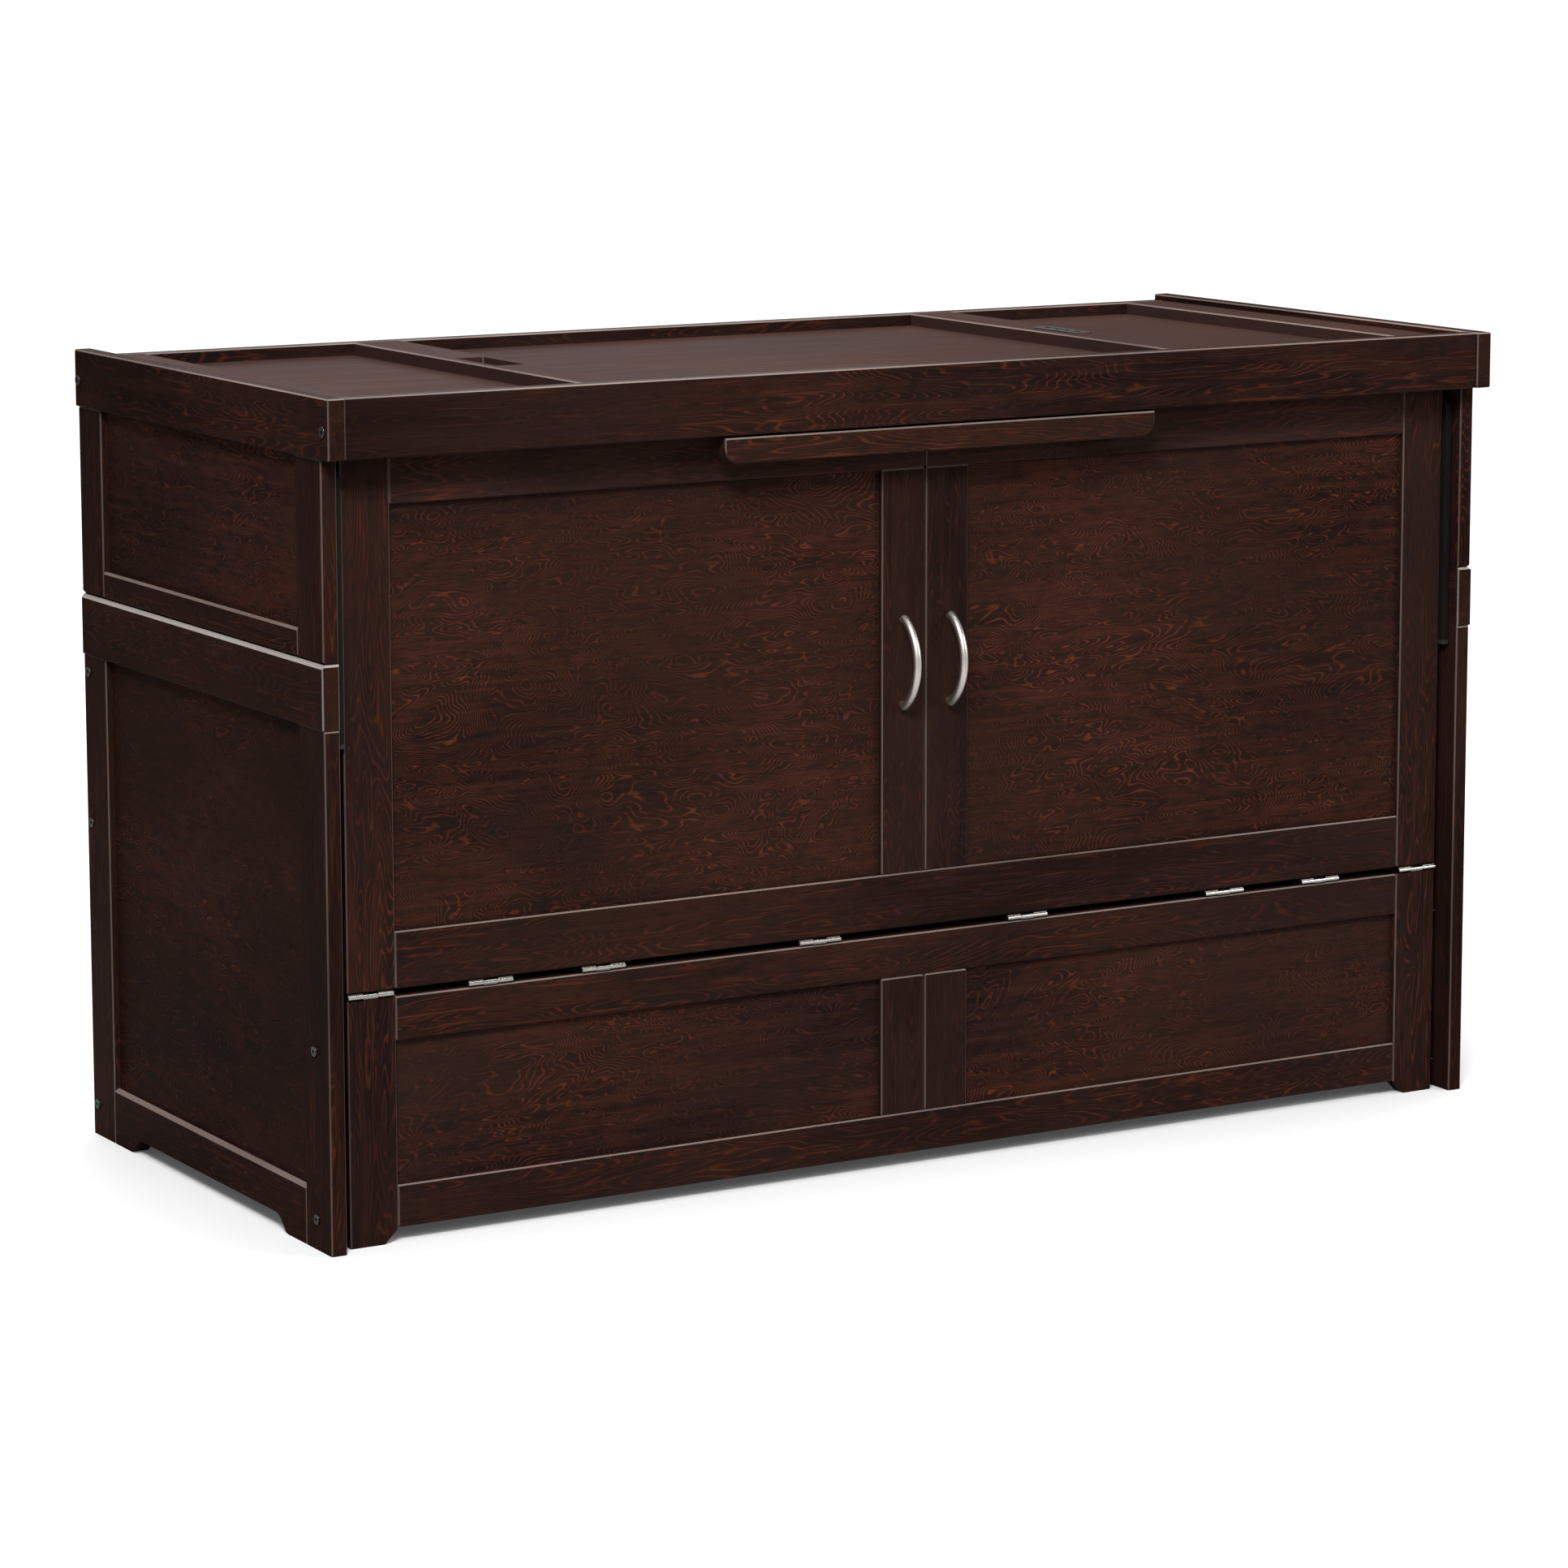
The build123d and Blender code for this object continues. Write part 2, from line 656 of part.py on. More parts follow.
group("base_back_posts", [
    block(mirrored_x(sign, base_rail_x, bearer_half), (moving_back - 40, moving_back), (4.0, 196.0))
    for sign in (-1, 1)
])
with BuildPart() as glides:
    with BuildSketch(Plane.XY):
        for sign in (-1, 1):
            with Locations((sign * (base_rail_x + base_rail_thick / 2), moving_back - 20)):
                Circle(9.0)
    extrude(amount=4.0)
save(glides.part, "base_glides")
group("base_bearers", [
    block((-bearer_half, bearer_half), (y, y + bearer_deep), (296.0, slat_low), fine_ease)
    for y in (moving_bearer_front, moving_bearer_back)
])
group("base_slats", slats(moving_slat_centres, (moving_bearer_front, moving_back), (slat_low, slat_top)))

# ---- drop legs, which hang plumb from the folding front ----
leg_foot_z = leg_pivot_z - (fold_z + leg_pivot_y - fold_y)
for sign, name in ((-1, "left"), (1, "right")):
    leg_x = mirrored_x(sign, leg_in, leg_out)
    leg_y = (leg_pivot_y - leg_wide / 2, leg_pivot_y + leg_wide / 2)
    with BuildPart() as leg:
        add(block(leg_x, leg_y, (leg_foot_z + leg_pad_thick, leg_pivot_z + leg_wide / 2), 0))
        upper = leg.edges().filter_by(Axis.X).group_by(Axis.Z)[-1]
        fillet(upper, leg_wide / 2 - 0.5)
        with BuildSketch(Plane.YZ.offset(leg_x[0] - 1)):
            with Locations((leg_pivot_y, leg_pivot_z)):
                Circle(leg_pin_r + pin_clear)
        extrude(amount=leg_out - leg_in + 2, mode=Mode.SUBTRACT)
    save(leg.part, f"{name}_drop_leg")
    pad_y = (leg_y[0] - 1, leg_y[1] + 1)
    save(block(leg_x, pad_y, (leg_foot_z + 0.5, leg_foot_z + leg_pad_thick), 0.5), f"{name}_leg_pad")


def leg_pin(sign):
    """Shoulder pin that carries a drop leg, standing on the stile's edge."""
    with BuildPart() as piece:
        with BuildSketch(Plane(origin=(sign * front_half, leg_pivot_y, leg_pivot_z), z_dir=(sign, 0, 0))):
            Circle(leg_pin_r)
        extrude(amount=leg_out - front_half + 2.0)
        with BuildSketch(Plane(origin=(sign * front_half, leg_pivot_y, leg_pivot_z), z_dir=(sign, 0, 0))):
            Circle(8.0)
        extrude(amount=leg_in - front_half - 0.4)
    return piece.part


group("leg_pins", [leg_pin(-1), leg_pin(1)])
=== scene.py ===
# Looks for the cabinet wall bed: stained wood, nickel fittings and a simulated folding mattress.
# Metres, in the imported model's frame.
import json
import math
import random

import bmesh
import bpy
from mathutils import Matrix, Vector
from mathutils.bvhtree import BVHTree


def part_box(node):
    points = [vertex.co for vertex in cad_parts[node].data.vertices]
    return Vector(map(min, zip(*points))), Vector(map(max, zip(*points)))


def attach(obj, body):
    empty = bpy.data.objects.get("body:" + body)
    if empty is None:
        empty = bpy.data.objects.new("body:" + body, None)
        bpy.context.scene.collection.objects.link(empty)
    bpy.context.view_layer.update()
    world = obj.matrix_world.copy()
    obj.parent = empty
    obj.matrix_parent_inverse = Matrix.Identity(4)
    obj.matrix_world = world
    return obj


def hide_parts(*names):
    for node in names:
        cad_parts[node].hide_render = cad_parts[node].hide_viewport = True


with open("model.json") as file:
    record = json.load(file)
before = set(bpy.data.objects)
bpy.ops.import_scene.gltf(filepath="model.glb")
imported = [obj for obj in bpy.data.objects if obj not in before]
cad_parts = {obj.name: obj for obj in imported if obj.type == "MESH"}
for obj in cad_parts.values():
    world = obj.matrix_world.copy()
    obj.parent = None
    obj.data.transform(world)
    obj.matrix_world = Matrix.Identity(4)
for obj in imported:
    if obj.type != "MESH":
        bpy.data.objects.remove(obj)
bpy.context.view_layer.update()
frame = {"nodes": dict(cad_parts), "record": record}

nodes = frame["nodes"]
rng = random.Random(639)  # places each board in its own part of the grain

# ---- camera: low three-quarter view from the bed's left ----
CAMERA_PLACE = (-3.308, -5.608, 1.584)
CAMERA_TURN = (81.327, 0.096, -30.387)
CAMERA_LENS = 118.5
CAMERA_SHIFT = (0.004, -0.079)

WORLD_FILL = 0.22  # brightness of the white studio as a light
WORLD_SEEN = 1.02  # and as the camera sees it
bpy.context.scene.view_settings.view_transform = "Standard"

# ---- colours, linear, and specular levels ----
STAIN_DARK = (0.0092, 0.0050, 0.0043)
STAIN_MID = (0.0235, 0.0112, 0.0081)
STAIN_RED = (0.142, 0.0335, 0.0165)
# painted highlight on the eased edges, and a brighter painted glint on the edges of the side bands
STAIN_EDGE_HIGHLIGHT = (0.215, 0.165, 0.142)
BAND_EDGE_HIGHLIGHT = (0.38, 0.335, 0.31)
TRAY_DARK = (0.034, 0.019, 0.016)
TRAY_MID = (0.047, 0.023, 0.018)
TRAY_RED = (0.075, 0.033, 0.023)
WOOD_LEVEL = 0.026
SIDE_LEVEL = 0.006  # the sides meet the white studio at a slant, and would look hazy at the usual level
TRAY_LEVEL = 0.010


# ---- node helpers ----
class Graph:
    """A small builder for one material's node tree."""

    def __init__(self, name):
        self.material = bpy.data.materials.new(name)
        self.material.use_nodes = True
        self.tree = self.material.node_tree
        self.tree.nodes.clear()
        out = self.tree.nodes.new("ShaderNodeOutputMaterial")
        self.shader = self.tree.nodes.new("ShaderNodeBsdfPrincipled")
        self.link(self.shader.outputs["BSDF"], out.inputs["Surface"])
        self.coords = self.tree.nodes.new("ShaderNodeTexCoord")

    def link(self, a, b):
        self.tree.links.new(a, b)

    def place(self, scale, offset=(0, 0, 0)):
        """Object coordinates, stretched and moved."""
        node = self.tree.nodes.new("ShaderNodeMapping")
        node.inputs["Scale"].default_value = scale
        node.inputs["Location"].default_value = offset
        self.link(self.coords.outputs["Object"], node.inputs["Vector"])
        return node.outputs["Vector"]

    def noise(self, vector, detail=2.0, rough=0.5, distortion=0.0):
        """Noise whose scale is the stretch of its coordinates."""
        node = self.tree.nodes.new("ShaderNodeTexNoise")
        node.inputs["Scale"].default_value = 1.0
        node.inputs["Detail"].default_value = detail
        node.inputs["Roughness"].default_value = rough
        node.inputs["Distortion"].default_value = distortion
        self.link(vector, node.inputs["Vector"])
        return node.outputs["Fac"]

    def math(self, kind, a, b=None, c=None):
        """One sum on sockets or numbers."""
        node = self.tree.nodes.new("ShaderNodeMath")
        node.operation = kind
        for socket, value in zip(node.inputs, (a, b, c)):
            if value is None:
                continue
            if isinstance(value, (int, float)):
                socket.default_value = value
            else:
                self.link(value, socket)
        return node.outputs[0]

    def span(self, value, low, high, to_low=0.0, to_high=1.0):
        """Maps low..high smoothly to to_low..to_high, and holds the ends."""
        node = self.tree.nodes.new("ShaderNodeMapRange")
        node.interpolation_type = "SMOOTHSTEP"
        node.inputs["From Min"].default_value = low
        node.inputs["From Max"].default_value = high
        node.inputs["To Min"].default_value = to_low
        node.inputs["To Max"].default_value = to_high
        self.link(value, node.inputs["Value"])
        return node.outputs["Result"]

    def mix(self, amount, a, b):
        """Colour a where amount is 0, b where it is 1."""
        node = self.tree.nodes.new("ShaderNodeMix")
        node.data_type = "RGBA"
        for socket, value in ((node.inputs[0], amount), (node.inputs[6], a), (node.inputs[7], b)):
            if isinstance(value, (int, float)):
                socket.default_value = value
            elif isinstance(value, tuple):
                socket.default_value = (*value, 1.0)
            else:
                self.link(value, socket)
        return node.outputs[2]

    def bump(self, height, strength, distance):
        node = self.tree.nodes.new("ShaderNodeBump")
        node.inputs["Strength"].default_value = strength
        node.inputs["Distance"].default_value = distance
        self.link(height, node.inputs["Height"])
        self.link(node.outputs["Normal"], self.shader.inputs["Normal"])

    def edge_highlight_mask(self):
        """Painted highlight on the eased edges: 1 on faces turned away from all three axes, less where they
        look down, as if lit from above.
        """
        split = self.tree.nodes.new("ShaderNodeSeparateXYZ")
        self.link(self.coords.outputs["Normal"], split.inputs[0])
        sizes = [self.math("ABSOLUTE", split.outputs[i]) for i in range(3)]
        largest = self.math("MAXIMUM", self.math("MAXIMUM", sizes[0], sizes[1]), sizes[2])
        slanted = self.span(largest, 0.97, 0.90)
        return self.math("MULTIPLY", slanted, self.span(split.outputs[2], -0.5, 0.65, 0.04, 1.0))


def along(grain, lengthwise, across):
    """Scale with one value along the grain axis and another across it."""
    return tuple(lengthwise if axis == grain else across for axis in "XYZ")


RING_COUNT = 610.0  # phase of the contour lines over the noise field's whole height


def wood(name, grain, dark, mid, level, red=STAIN_RED, edge_highlight=STAIN_EDGE_HIGHLIGHT, figure=1.0, wild=1.0, gloss=0.36):
    """Stained hardwood: fine wavy contour lines in red patches over a near-black brown.

    figure is how strongly the lines show. wild is 1 for a rotary-cut panel with curling figure, and less
    for straight-grained boards. gloss is the roughness, and level the specular level.
    """
    g = Graph(name)
    offset = tuple(rng.uniform(-20, 20) for _ in range(3))
    field = g.noise(g.place(along(grain, 0.6 + 2.8 * wild, 9.0), offset), 3.0, 0.5, 0.1 + 0.35 * wild)
    wander = g.noise(g.place(along(grain, 10.0 + 30.0 * wild, 90.0), offset), 2.0, 0.5)
    phase = g.math("MULTIPLY_ADD", wander, 6.0, g.math("MULTIPLY", field, RING_COUNT))
    lines = g.math("POWER", g.math("MULTIPLY_ADD", g.math("SINE", phase), 0.5, 0.5), 8.0)
    patches = g.span(
        g.noise(g.place(along(grain, 2.4, 4.5), offset), 3.0, 0.6, 0.2), 0.34, 0.74, 0.22, 1.0)
    broken = g.span(g.noise(g.place(along(grain, 35.0, 100.0), offset), 3.0, 0.6), 0.30, 0.60)
    streaks = g.noise(g.place(along(grain, 5.0, 90.0), offset), 4.0, 0.6)
    clouds = g.noise(g.place(along(grain, 1.8, 3.2), offset), 3.0, 0.55)
    pores = g.noise(g.place(along(grain, 60.0, 1000.0), offset), 2.0, 0.7)
    ground = g.mix(g.span(clouds, 0.3, 0.7), dark, mid)
    ground = g.mix(g.math("MULTIPLY", g.span(streaks, 0.42, 0.75), 0.6), ground, mid)
    bloom = g.math("MULTIPLY", patches, g.span(streaks, 0.35, 0.75))
    ground = g.mix(g.math("MULTIPLY", bloom, 0.13 * figure), ground, red)
    glow = g.math("MULTIPLY", g.math("MULTIPLY", lines, broken), g.math("MULTIPLY", patches, 0.95 * figure))
    ground = g.mix(glow, ground, red)
    slivers = g.span(g.noise(g.place(along(grain, 9.0, 240.0), offset), 2.0, 0.5), 0.60, 0.72)
    flecks = g.math("MULTIPLY", slivers, g.math("MULTIPLY", patches, (0.85 - 0.65 * wild) * figure))
    ground = g.mix(flecks, ground, red)
    ground = g.mix(g.math("MULTIPLY", g.span(pores, 0.50, 0.68), 0.5), ground, dark)
    # painted highlight on the eased edges, varied by the clouds; the same mask lowers the roughness there
    edge_highlight_amount = g.math("MULTIPLY", g.edge_highlight_mask(), g.span(clouds, 0.25, 0.65, 0.45, 1.0))
    g.link(g.mix(edge_highlight_amount, ground, edge_highlight), g.shader.inputs["Base Color"])
    rough = g.span(streaks, 0.2, 0.8, gloss - 0.05, gloss + 0.10)
    g.link(g.math("SUBTRACT", rough, g.math("MULTIPLY", edge_highlight_amount, 0.10)), g.shader.inputs["Roughness"])
    g.shader.inputs["Specular IOR Level"].default_value = level
    height = g.math("ADD", g.math("MULTIPLY", pores, 0.7), g.math("MULTIPLY", lines, 0.2))
    g.bump(height, 0.12, 0.0005)
    return g.material


def pale_wood(name, grain):
    """Planed pine slats with soft growth bands."""
    g = Graph(name)
    offset = tuple(rng.uniform(-20, 20) for _ in range(3))
    field = g.noise(g.place(along(grain, 1.2, 9.0), offset), 2.0, 0.5, 0.3)
    bands = g.math("MULTIPLY_ADD", g.math("SINE", g.math("MULTIPLY", field, 70.0)), 0.5, 0.5)
    fibres = g.noise(g.place(along(grain, 12.0, 420.0), offset), 2.0, 0.6)
    ground = g.mix(g.math("MULTIPLY", bands, 0.7), (0.55, 0.38, 0.22), (0.40, 0.23, 0.11))
    ground = g.mix(g.math("MULTIPLY", fibres, 0.35), ground, (0.62, 0.46, 0.30))
    g.link(ground, g.shader.inputs["Base Color"])
    g.link(g.span(fibres, 0.2, 0.8, 0.5, 0.65), g.shader.inputs["Roughness"])
    g.bump(fibres, 0.15, 0.0006)
    return g.material


def metal(name, colour, stretch, rough=0.26, blotch=0.06):
    """Brushed metal: stretch is high across its fine lines and low along them."""
    g = Graph(name)
    lines = g.noise(g.place(stretch), 2.0, 0.6)
    smudge = g.noise(g.place((40.0, 40.0, 40.0)), 2.0, 0.5)
    lighter = tuple(min(1.0, c * 1.10) for c in colour)
    g.link(g.mix(lines, colour, lighter), g.shader.inputs["Base Color"])
    brushed = g.span(lines, 0.2, 0.8, rough - 0.02, rough + 0.03)
    g.link(g.math("ADD", brushed, g.math("MULTIPLY", smudge, blotch)), g.shader.inputs["Roughness"])
    g.shader.inputs["Metallic"].default_value = 1.0
    g.bump(lines, 0.01, 0.0001)
    return g.material


def fold_hinge_metal_and_shade(name, axis_y, axis_z, reach):
    """Bright nickel on the barrel; the leaves that lie in the seam behind it are painted near-black as
    painted shade.
    """
    g = Graph(name)
    split = g.tree.nodes.new("ShaderNodeSeparateXYZ")
    g.link(g.coords.outputs["Object"], split.inputs[0])
    dy = g.math("SUBTRACT", split.outputs[1], axis_y)
    dz = g.math("SUBTRACT", split.outputs[2], axis_z)
    away = g.math("SQRT", g.math("ADD", g.math("MULTIPLY", dy, dy), g.math("MULTIPLY", dz, dz)))
    seam_shade = g.span(away, reach, reach + 0.0003)
    lines = g.noise(g.place((60.0, 700.0, 700.0)), 2.0, 0.6)
    barrel = g.mix(lines, (0.60, 0.56, 0.52), (0.72, 0.68, 0.63))
    # painted shade: beyond reach from the fold axis the leaves are coloured near-black
    g.link(g.mix(seam_shade, barrel, (0.030, 0.024, 0.020)), g.shader.inputs["Base Color"])
    g.link(g.math("ADD", g.span(lines, 0.2, 0.8, 0.20, 0.30), g.math("MULTIPLY", seam_shade, 0.25)),
           g.shader.inputs["Roughness"])
    g.shader.inputs["Metallic"].default_value = 1.0
    return g.material


def plain(name, colour, rough, grain_size, strength, level=0.3):
    """Powder coat, moulded plastic or rubber with a fine surface texture."""
    g = Graph(name)
    speckle = g.noise(g.place((grain_size,) * 3), 3.0, 0.6)
    lighter = tuple(c * 1.6 + 0.002 for c in colour)
    g.link(g.mix(speckle, colour, lighter), g.shader.inputs["Base Color"])
    g.link(g.span(speckle, 0.2, 0.8, rough - 0.06, rough + 0.08), g.shader.inputs["Roughness"])
    g.shader.inputs["Specular IOR Level"].default_value = level
    g.bump(speckle, strength, 0.0003)
    return g.material


def knit(name, colour, pitch=0.0016):
    """Knitted mattress cover: small staggered stitches with soft shade changes."""
    g = Graph(name)
    scale = 1.0 / pitch
    row = g.tree.nodes.new("ShaderNodeTexVoronoi")
    row.inputs["Scale"].default_value = 1.0
    row.inputs["Randomness"].default_value = 0.35
    g.link(g.place((scale, scale, scale * 0.8)), row.inputs["Vector"])
    stitch = row.outputs["Distance"]
    soft = g.noise(g.place((5.0, 5.0, 5.0)), 3.0, 0.6)
    shade = tuple(c * 0.80 for c in colour)
    ground = g.mix(g.span(stitch, 0.15, 0.75), colour, shade)
    ground = g.mix(g.math("MULTIPLY", soft, 0.18), ground, tuple(c * 0.9 for c in colour))
    g.link(ground, g.shader.inputs["Base Color"])
    g.link(g.span(stitch, 0.1, 0.8, 0.78, 0.95), g.shader.inputs["Roughness"])
    g.shader.inputs["Sheen Weight"].default_value = 0.25
    g.bump(g.math("SUBTRACT", 1.0, stitch), 0.35, 0.0007)
    return g.material


# ---- CAD nodes ----
GRAIN = {
    "Z": [
        "left_lower_stiles", "right_lower_stiles", "upper_side_stiles", "front_left_stile",
        "front_right_stile", "front_centre_stiles", "base_left_stile", "base_right_stile",
        "base_centre_stiles", "base_back_posts",
    ],
    "Y": [
        "left_lower_rail", "right_lower_rail", "left_band", "right_band", "upper_side_rails",
        "upper_side_panels", "lower_side_panels", "lid_left_board", "lid_right_board", "base_side_rails",
    ],
    "X": [
        "front_top_rails", "front_bottom_rail", "front_panels", "grip_bar", "grip_bar_spacers",
        "base_top_rail", "base_bottom_rail", "base_panels", "lid_front_board", "lid_back_board",
        "back_rails", "back_panels",
    ],
}
PANELS = ("front_panels", "base_panels", "upper_side_panels", "lower_side_panels", "back_panels")
STRONG_FIGURE = ("front_panels", "base_panels", "grip_bar")
TONE = {  # lighter or darker boards
    "front_top_rails": 1.7, "base_panels": 1.2, "upper_side_panels": 1.35, "lower_side_panels": 0.88,
    "lid_front_board": 0.85, "front_bottom_rail": 0.95,
}


def dress(node, material):
    mesh = nodes[node].data
    mesh.materials.clear()
    mesh.materials.append(material)


for grain, names in GRAIN.items():
    for node in names:
        figure = 1.0 if node in STRONG_FIGURE else 0.75 if node in PANELS else 0.55
        wild = 1.0 if node in PANELS else 0.12
        tone = TONE.get(node, 1.0)
        dark, mid = (tuple(c * tone for c in colour) for colour in (STAIN_DARK, STAIN_MID))
        # the side bands get a brighter painted highlight on their eased edges
        edge_highlight = BAND_EDGE_HIGHLIGHT if node.endswith("_band") else STAIN_EDGE_HIGHLIGHT
        on_side = grain == "Y" or "side" in node or "lower_stiles" in node
        level = SIDE_LEVEL if on_side else WOOD_LEVEL
        dress(node, wood("wood_" + node, grain, dark, mid, level, edge_highlight=edge_highlight, figure=figure, wild=wild))
for node, grain in (
    ("lid_side_strips", "Y"), ("lid_left_divider", "Y"), ("lid_right_divider", "Y"),
    ("lid_side_panels", "X"), ("lid_centre_panel", "X"),
):
    dress(node, wood("tray_" + node, grain, TRAY_DARK, TRAY_MID, TRAY_LEVEL, red=TRAY_RED, figure=0.3,
                     wild=0.3, gloss=0.5))
for node, grain in (
    ("deck_bearers", "X"), ("base_bearers", "X"), ("head_slats", "Y"), ("base_slats", "Y"),
    ("foot_slats", "Z"),
):
    dress(node, pale_wood("pine_" + node, grain))
nickel = metal("brushed_nickel", (0.76, 0.70, 0.65), (900.0, 8.0, 8.0), 0.36, 0.03)
dress("door_pulls", nickel)
# beyond this distance from the fold axis the hinge leaves get painted shade
FOLD_BARREL_REACH = 0.0028  # just outside the barrels of the fold hinges
BRUSHED_X, BRUSHED_Y = along("X", 30.0, 900.0), along("Y", 30.0, 900.0)
record_joints = frame["record"]["behaviour"]["joints"]
fold_at = next(joint["pos_m"] for joint in record_joints if joint["name"] == "front_fold")
fold_metal_and_shade = fold_hinge_metal_and_shade("fold_hinge_nickel_and_shade", fold_at[1], fold_at[2], FOLD_BARREL_REACH)
for node in ("front_hinge_leaves", "base_hinge_leaves"):
    dress(node, fold_metal_and_shade)
hinge_metal = metal("hinge_nickel", (0.42, 0.39, 0.36), BRUSHED_X, 0.24)
for node in ("lid_hinge_leaves", "cabinet_hinge_leaves"):
    dress(node, hinge_metal)
bolt_metal = metal("dark_fixing_steel", (0.085, 0.075, 0.07), BRUSHED_Y, 0.3)
for node in ("cabinet_bolts", "lid_bolts", "leg_pins"):
    dress(node, bolt_metal)
black_coat = plain("black_powder_coat", (0.006, 0.0055, 0.005), 0.6, 2200.0, 0.2, 0.08)
for node in ("left_drop_leg", "right_drop_leg"):
    dress(node, black_coat)
rubber = plain("black_rubber", (0.015, 0.015, 0.015), 0.8, 900.0, 0.2)
for node in ("left_leg_pad", "right_leg_pad", "base_glides"):
    dress(node, rubber)
black_plastic = plain("black_moulding", (0.014, 0.014, 0.015), 0.42, 1800.0, 0.12)
for node in ("power_unit", "cable_grommet"):
    dress(node, black_plastic)

# ---- folded mattress ----
VOXEL = 0.014
SHRINK = 0.007  # the block starts this much inside the CAD section on every side
PUFF = 0.0065  # the furthest that a point may swell
SKIN = 0.0005  # kept between a pad and the sides of its CAD section
PRESSURE = 4.0
LAST_FRAME = 20
PIPING_R = 0.0032
PIPING_STEP = 0.03
PIPING_INSET = 0.016  # from the top and bottom of a section to its two cords
PIPING_PROUD = 0.35  # the cord's middle stands this part of its radius off the cloth
RAY_START = 0.02  # outside the outline, where the ray that finds the cloth starts
RAY_TARGET = 0.1  # inside the section, where it points
PAD_CORNER = 0.024
CORNER_STEPS = 8
CORNERS = ((1, 1, 0), (-1, 1, 90), (-1, -1, 180), (1, -1, 270))  # side in x, side in y, first angle
QUILT_PITCH = 0.125
QUILT_DEPTH = 0.0035
QUILT_GROOVE = 0.012
QUILT_BORDER = 0.03  # plain cloth round the quilting, and the width over which it fades in
cover = knit("mattress_knit", (0.56, 0.545, 0.505))
piping_cloth = knit("mattress_piping", (0.24, 0.22, 0.195), 0.0012)


def shrunk_block(name, lo, hi, corner):
    """A box with rounded upright corners, a little smaller than the CAD section."""
    bm = bmesh.new()
    low = Vector(lo) + Vector((SHRINK,) * 3)
    high = Vector(hi) - Vector((SHRINK,) * 3)
    ring = []
    for sx, sy, start in CORNERS:
        centre = Vector((high.x - corner if sx > 0 else low.x + corner,
                         high.y - corner if sy > 0 else low.y + corner))
        for i in range(CORNER_STEPS + 1):
            a = math.radians(start + 90 * i / CORNER_STEPS)
            ring.append((centre.x + corner * math.cos(a), centre.y + corner * math.sin(a)))
    floor = [bm.verts.new((x, y, low.z)) for x, y in ring]
    roof = [bm.verts.new((x, y, high.z)) for x, y in ring]
    bm.faces.new(list(reversed(floor)))
    bm.faces.new(roof)
    for i in range(len(ring)):
        j = (i + 1) % len(ring)
        bm.faces.new((floor[i], floor[j], roof[j], roof[i]))
    mesh = bpy.data.meshes.new(name)
    bm.to_mesh(mesh)
    bm.free()
    piece = bpy.data.objects.new(name, mesh)
    bpy.context.scene.collection.objects.link(piece)
    return piece


def apply_modifiers(piece):
    """Keeps the evaluated mesh and drops every modifier."""
    graph = bpy.context.evaluated_depsgraph_get()
    mesh = bpy.data.meshes.new_from_object(piece.evaluated_get(graph))
    piece.modifiers.clear()
    piece.data = mesh


def inflate(piece, lo, hi):
    """Swells the block as a cloth under pressure, capped, and kept inside its space."""
    remesh = piece.modifiers.new("remesh", "REMESH")
    remesh.mode = "VOXEL"
    remesh.voxel_size = VOXEL
    apply_modifiers(piece)
    start = [v.co.copy() for v in piece.data.vertices]
    scene = bpy.context.scene
    cloth = piece.modifiers.new("cloth", "CLOTH")
    cloth.settings.use_pressure = True
    cloth.settings.uniform_pressure_force = PRESSURE
    cloth.settings.effector_weights.gravity = 0.0
    cloth.settings.quality = 4
    cloth.collision_settings.use_collision = False
    cloth.point_cache.frame_start = 1
    cloth.point_cache.frame_end = LAST_FRAME
    for number in range(1, LAST_FRAME + 1):
        scene.frame_set(number)
    apply_modifiers(piece)
    scene.frame_set(1)
    for v, home in zip(piece.data.vertices, start):
        move = v.co - home
        if move.length > PUFF:
            v.co = home + move.normalized() * PUFF
        for axis in range(3):
            v.co[axis] = min(max(v.co[axis], lo[axis] + SKIN), hi[axis] - SKIN)


def quilt(piece, lo, hi):
    """Sews diamond quilting into the two broad faces, fading out towards a plain border."""
    piece.data.update()
    facing = [v.normal.z for v in piece.data.vertices]
    for v, up in zip(piece.data.vertices, facing):
        if abs(up) > 0.6:
            u = (v.co.x + v.co.y) / QUILT_PITCH
            w = (v.co.x - v.co.y) / QUILT_PITCH
            near = min(abs(u - round(u)), abs(w - round(w))) * QUILT_PITCH
            inset = min(v.co.x - lo.x, hi.x - v.co.x, v.co.y - lo.y, hi.y - v.co.y)
            fade = min(1.0, max(0.0, (inset - QUILT_BORDER) / QUILT_BORDER))
            v.co.z -= math.copysign(QUILT_DEPTH * fade * math.exp(-(near / QUILT_GROOVE) ** 2), up)


def outline(lo, hi, z, corner):
    """Points round a rounded rectangle at one height, close together on the straight sides too."""
    points = []
    for sx, sy, start in CORNERS:
        cx = hi.x - corner if sx > 0 else lo.x + corner
        cy = hi.y - corner if sy > 0 else lo.y + corner
        for i in range(CORNER_STEPS + 1):
            a = math.radians(start + 90 * i / CORNER_STEPS)
            points.append(Vector((cx + corner * math.cos(a), cy + corner * math.sin(a), z)))
    dense = []
    for here, there in zip(points, points[1:] + points[:1]):
        count = max(1, round((there - here).length / PIPING_STEP))
        dense += [here.lerp(there, i / count) for i in range(count)]
    return dense


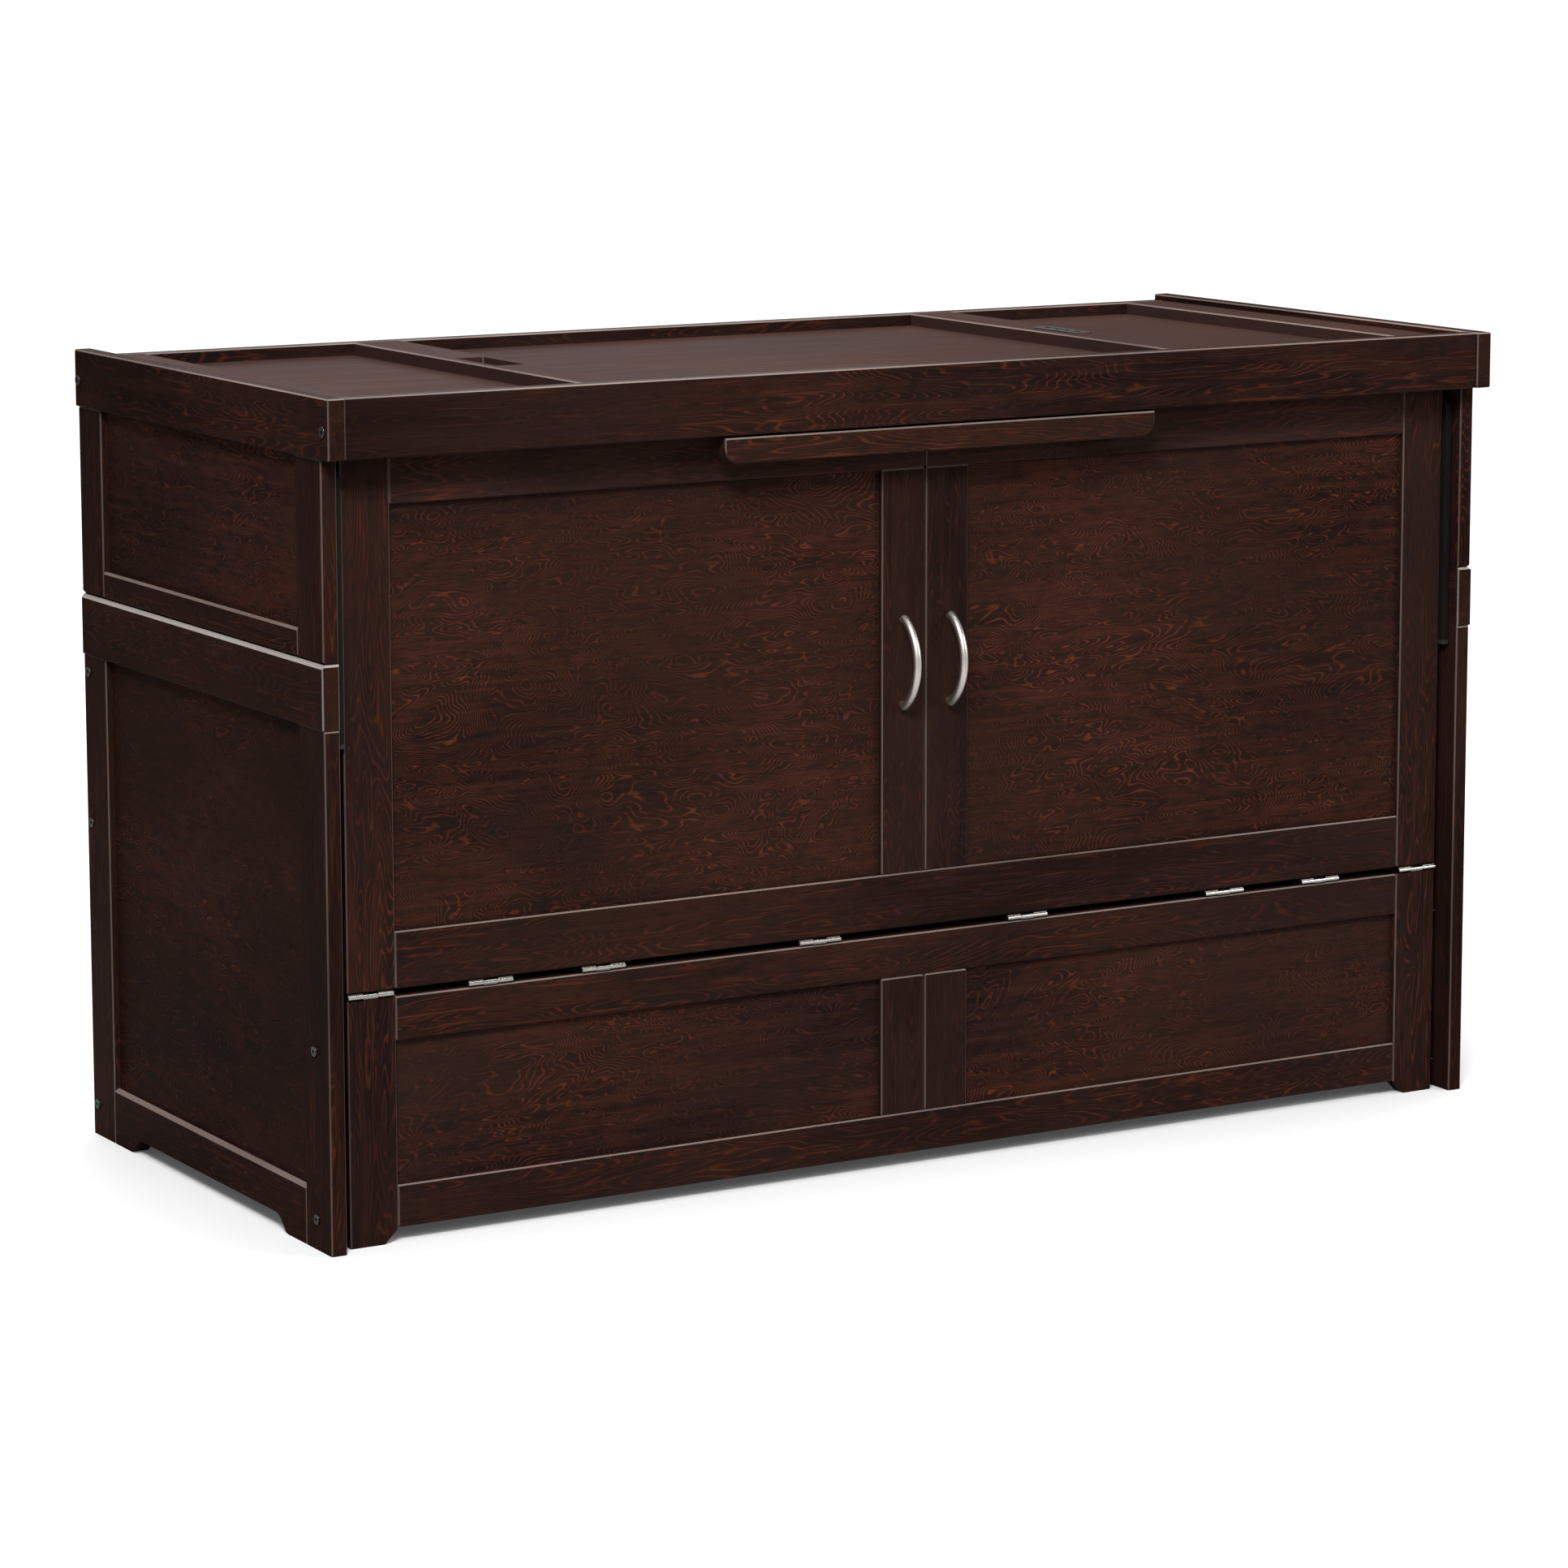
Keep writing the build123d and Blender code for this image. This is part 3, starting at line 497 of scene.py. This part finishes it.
def piping(name, pad, lo, hi, z):
    """A sewn cord round the pad at one height, lying on its swollen side."""
    surface = BVHTree.FromPolygons(
        [v.co for v in pad.data.vertices], [tuple(p.vertices) for p in pad.data.polygons])
    curve = bpy.data.curves.new(name, "CURVE")
    curve.dimensions = "3D"
    spline = curve.splines.new("POLY")
    points = []
    for point in outline(lo, hi, z, PAD_CORNER):
        inner = Vector((min(max(point.x, lo.x + RAY_TARGET), hi.x - RAY_TARGET),
                        min(max(point.y, lo.y + RAY_TARGET), hi.y - RAY_TARGET), z))
        inward = (inner - point).normalized()
        hit = surface.ray_cast(point - inward * RAY_START, inward)[0]
        seat = hit if hit is not None else point
        seat = seat - inward * PIPING_R * PIPING_PROUD
        for axis in (0, 1):
            seat[axis] = min(max(seat[axis], lo[axis] + PIPING_R), hi[axis] - PIPING_R)
        points.append(seat)
    spline.points.add(len(points) - 1)
    for p, co in zip(spline.points, points):
        p.co = (*co, 1.0)
    spline.use_cyclic_u = True
    curve.bevel_depth = PIPING_R
    curve.bevel_resolution = 3
    piece = bpy.data.objects.new(name, curve)
    bpy.context.scene.collection.objects.link(piece)
    curve.materials.append(piping_cloth)
    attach(piece, "cabinet")


for label in ("lower", "middle", "upper"):
    node = f"mattress_{label}_section"
    lo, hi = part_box(node)
    pad = shrunk_block(f"mattress_{label}_pad", lo, hi, PAD_CORNER)
    inflate(pad, lo, hi)
    smooth = pad.modifiers.new("round", "SUBSURF")
    smooth.levels = 1
    smooth.render_levels = 1
    apply_modifiers(pad)
    quilt(pad, lo, hi)
    for polygon in pad.data.polygons:
        polygon.use_smooth = True
    pad.data.materials.clear()
    pad.data.materials.append(cover)
    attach(pad, "cabinet")
    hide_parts(node)
    for where, z in (("low", lo.z + PIPING_INSET), ("high", hi.z - PIPING_INSET)):
        piping(f"mattress_{label}_{where}_piping", pad, lo, hi, z)


# ---- stage ----
def floor_material():
    """Pale floor that fades to white away from the bed for the camera, and is darker to other rays."""
    g = Graph("pale_floor")
    cloud = g.noise(g.place((1.5, 1.5, 1.5)), 2.0, 0.5)
    seen = g.tree.nodes.new("ShaderNodeLightPath").outputs["Is Camera Ray"]
    paper = g.mix(cloud, (0.90, 0.90, 0.90), (0.93, 0.93, 0.93))
    g.link(g.mix(seen, (0.42, 0.42, 0.42), paper), g.shader.inputs["Base Color"])
    g.shader.inputs["Roughness"].default_value = 0.9
    g.shader.inputs["Specular IOR Level"].default_value = 0.0
    distance = g.tree.nodes.new("ShaderNodeVectorMath")
    distance.operation = "LENGTH"
    g.link(g.coords.outputs["Object"], distance.inputs[0])
    glow = g.math("MULTIPLY", seen, g.span(distance.outputs["Value"], 0.9, 5.0, 0.06, 0.9))
    g.shader.inputs["Emission Color"].default_value = (1.0, 1.0, 1.0, 1.0)
    g.link(glow, g.shader.inputs["Emission Strength"])
    return g.material


floor_mesh = bpy.data.meshes.new("studio_floor")
FLOOR_REACH = 30.0
floor_mesh.from_pydata([(x * FLOOR_REACH, y * FLOOR_REACH, 0) for x, y, _ in CORNERS], [], [(0, 1, 2, 3)])
floor_mesh.materials.append(floor_material())
studio_floor = bpy.data.objects.new("studio_floor", floor_mesh)
bpy.context.scene.collection.objects.link(studio_floor)


BED_MIDDLE = Vector((0.0, 0.0, 0.5))


def soft_light(name, place, size, power):
    """A rectangular softbox turned to the middle of the bed."""
    data = bpy.data.lights.new(name, "AREA")
    data.shape = "RECTANGLE"
    data.size, data.size_y = size
    data.energy = power
    lamp = bpy.data.objects.new(name, data)
    lamp.location = place
    lamp.rotation_euler = (BED_MIDDLE - Vector(place)).to_track_quat("-Z", "Y").to_euler()
    bpy.context.scene.collection.objects.link(lamp)


soft_light("key_softbox", (-3.0, -4.0, 4.6), (2.0, 1.6), 380.0)
soft_light("fill_softbox", (4.4, -4.2, 2.8), (2.4, 2.2), 110.0)
soft_light("top_softbox", (0.4, 0.6, 4.8), (4.0, 2.6), 240.0)
soft_light("back_softbox", (1.5, 4.8, 2.8), (3.0, 2.0), 25.0)

world = bpy.data.worlds.new("studio")
bpy.context.scene.world = world
world.use_nodes = True
world_tree = world.node_tree
sky = world_tree.nodes["Background"]
sky.inputs["Color"].default_value = (1.0, 1.0, 1.0, 1.0)
ray = world_tree.nodes.new("ShaderNodeLightPath")
strength = world_tree.nodes.new("ShaderNodeMapRange")
strength.inputs["To Min"].default_value = WORLD_FILL
strength.inputs["To Max"].default_value = WORLD_SEEN
world_tree.links.new(ray.outputs["Is Camera Ray"], strength.inputs["Value"])
world_tree.links.new(strength.outputs["Result"], sky.inputs["Strength"])

camera_data = bpy.data.cameras.new("camera")
camera_data.lens = CAMERA_LENS
camera_data.sensor_width = 36.0
camera_data.shift_x, camera_data.shift_y = CAMERA_SHIFT
camera_data.clip_end = 100.0
camera = bpy.data.objects.new("camera", camera_data)
camera.location = CAMERA_PLACE
camera.rotation_euler = [math.radians(a) for a in CAMERA_TURN]
bpy.context.scene.collection.objects.link(camera)
bpy.context.scene.camera = camera
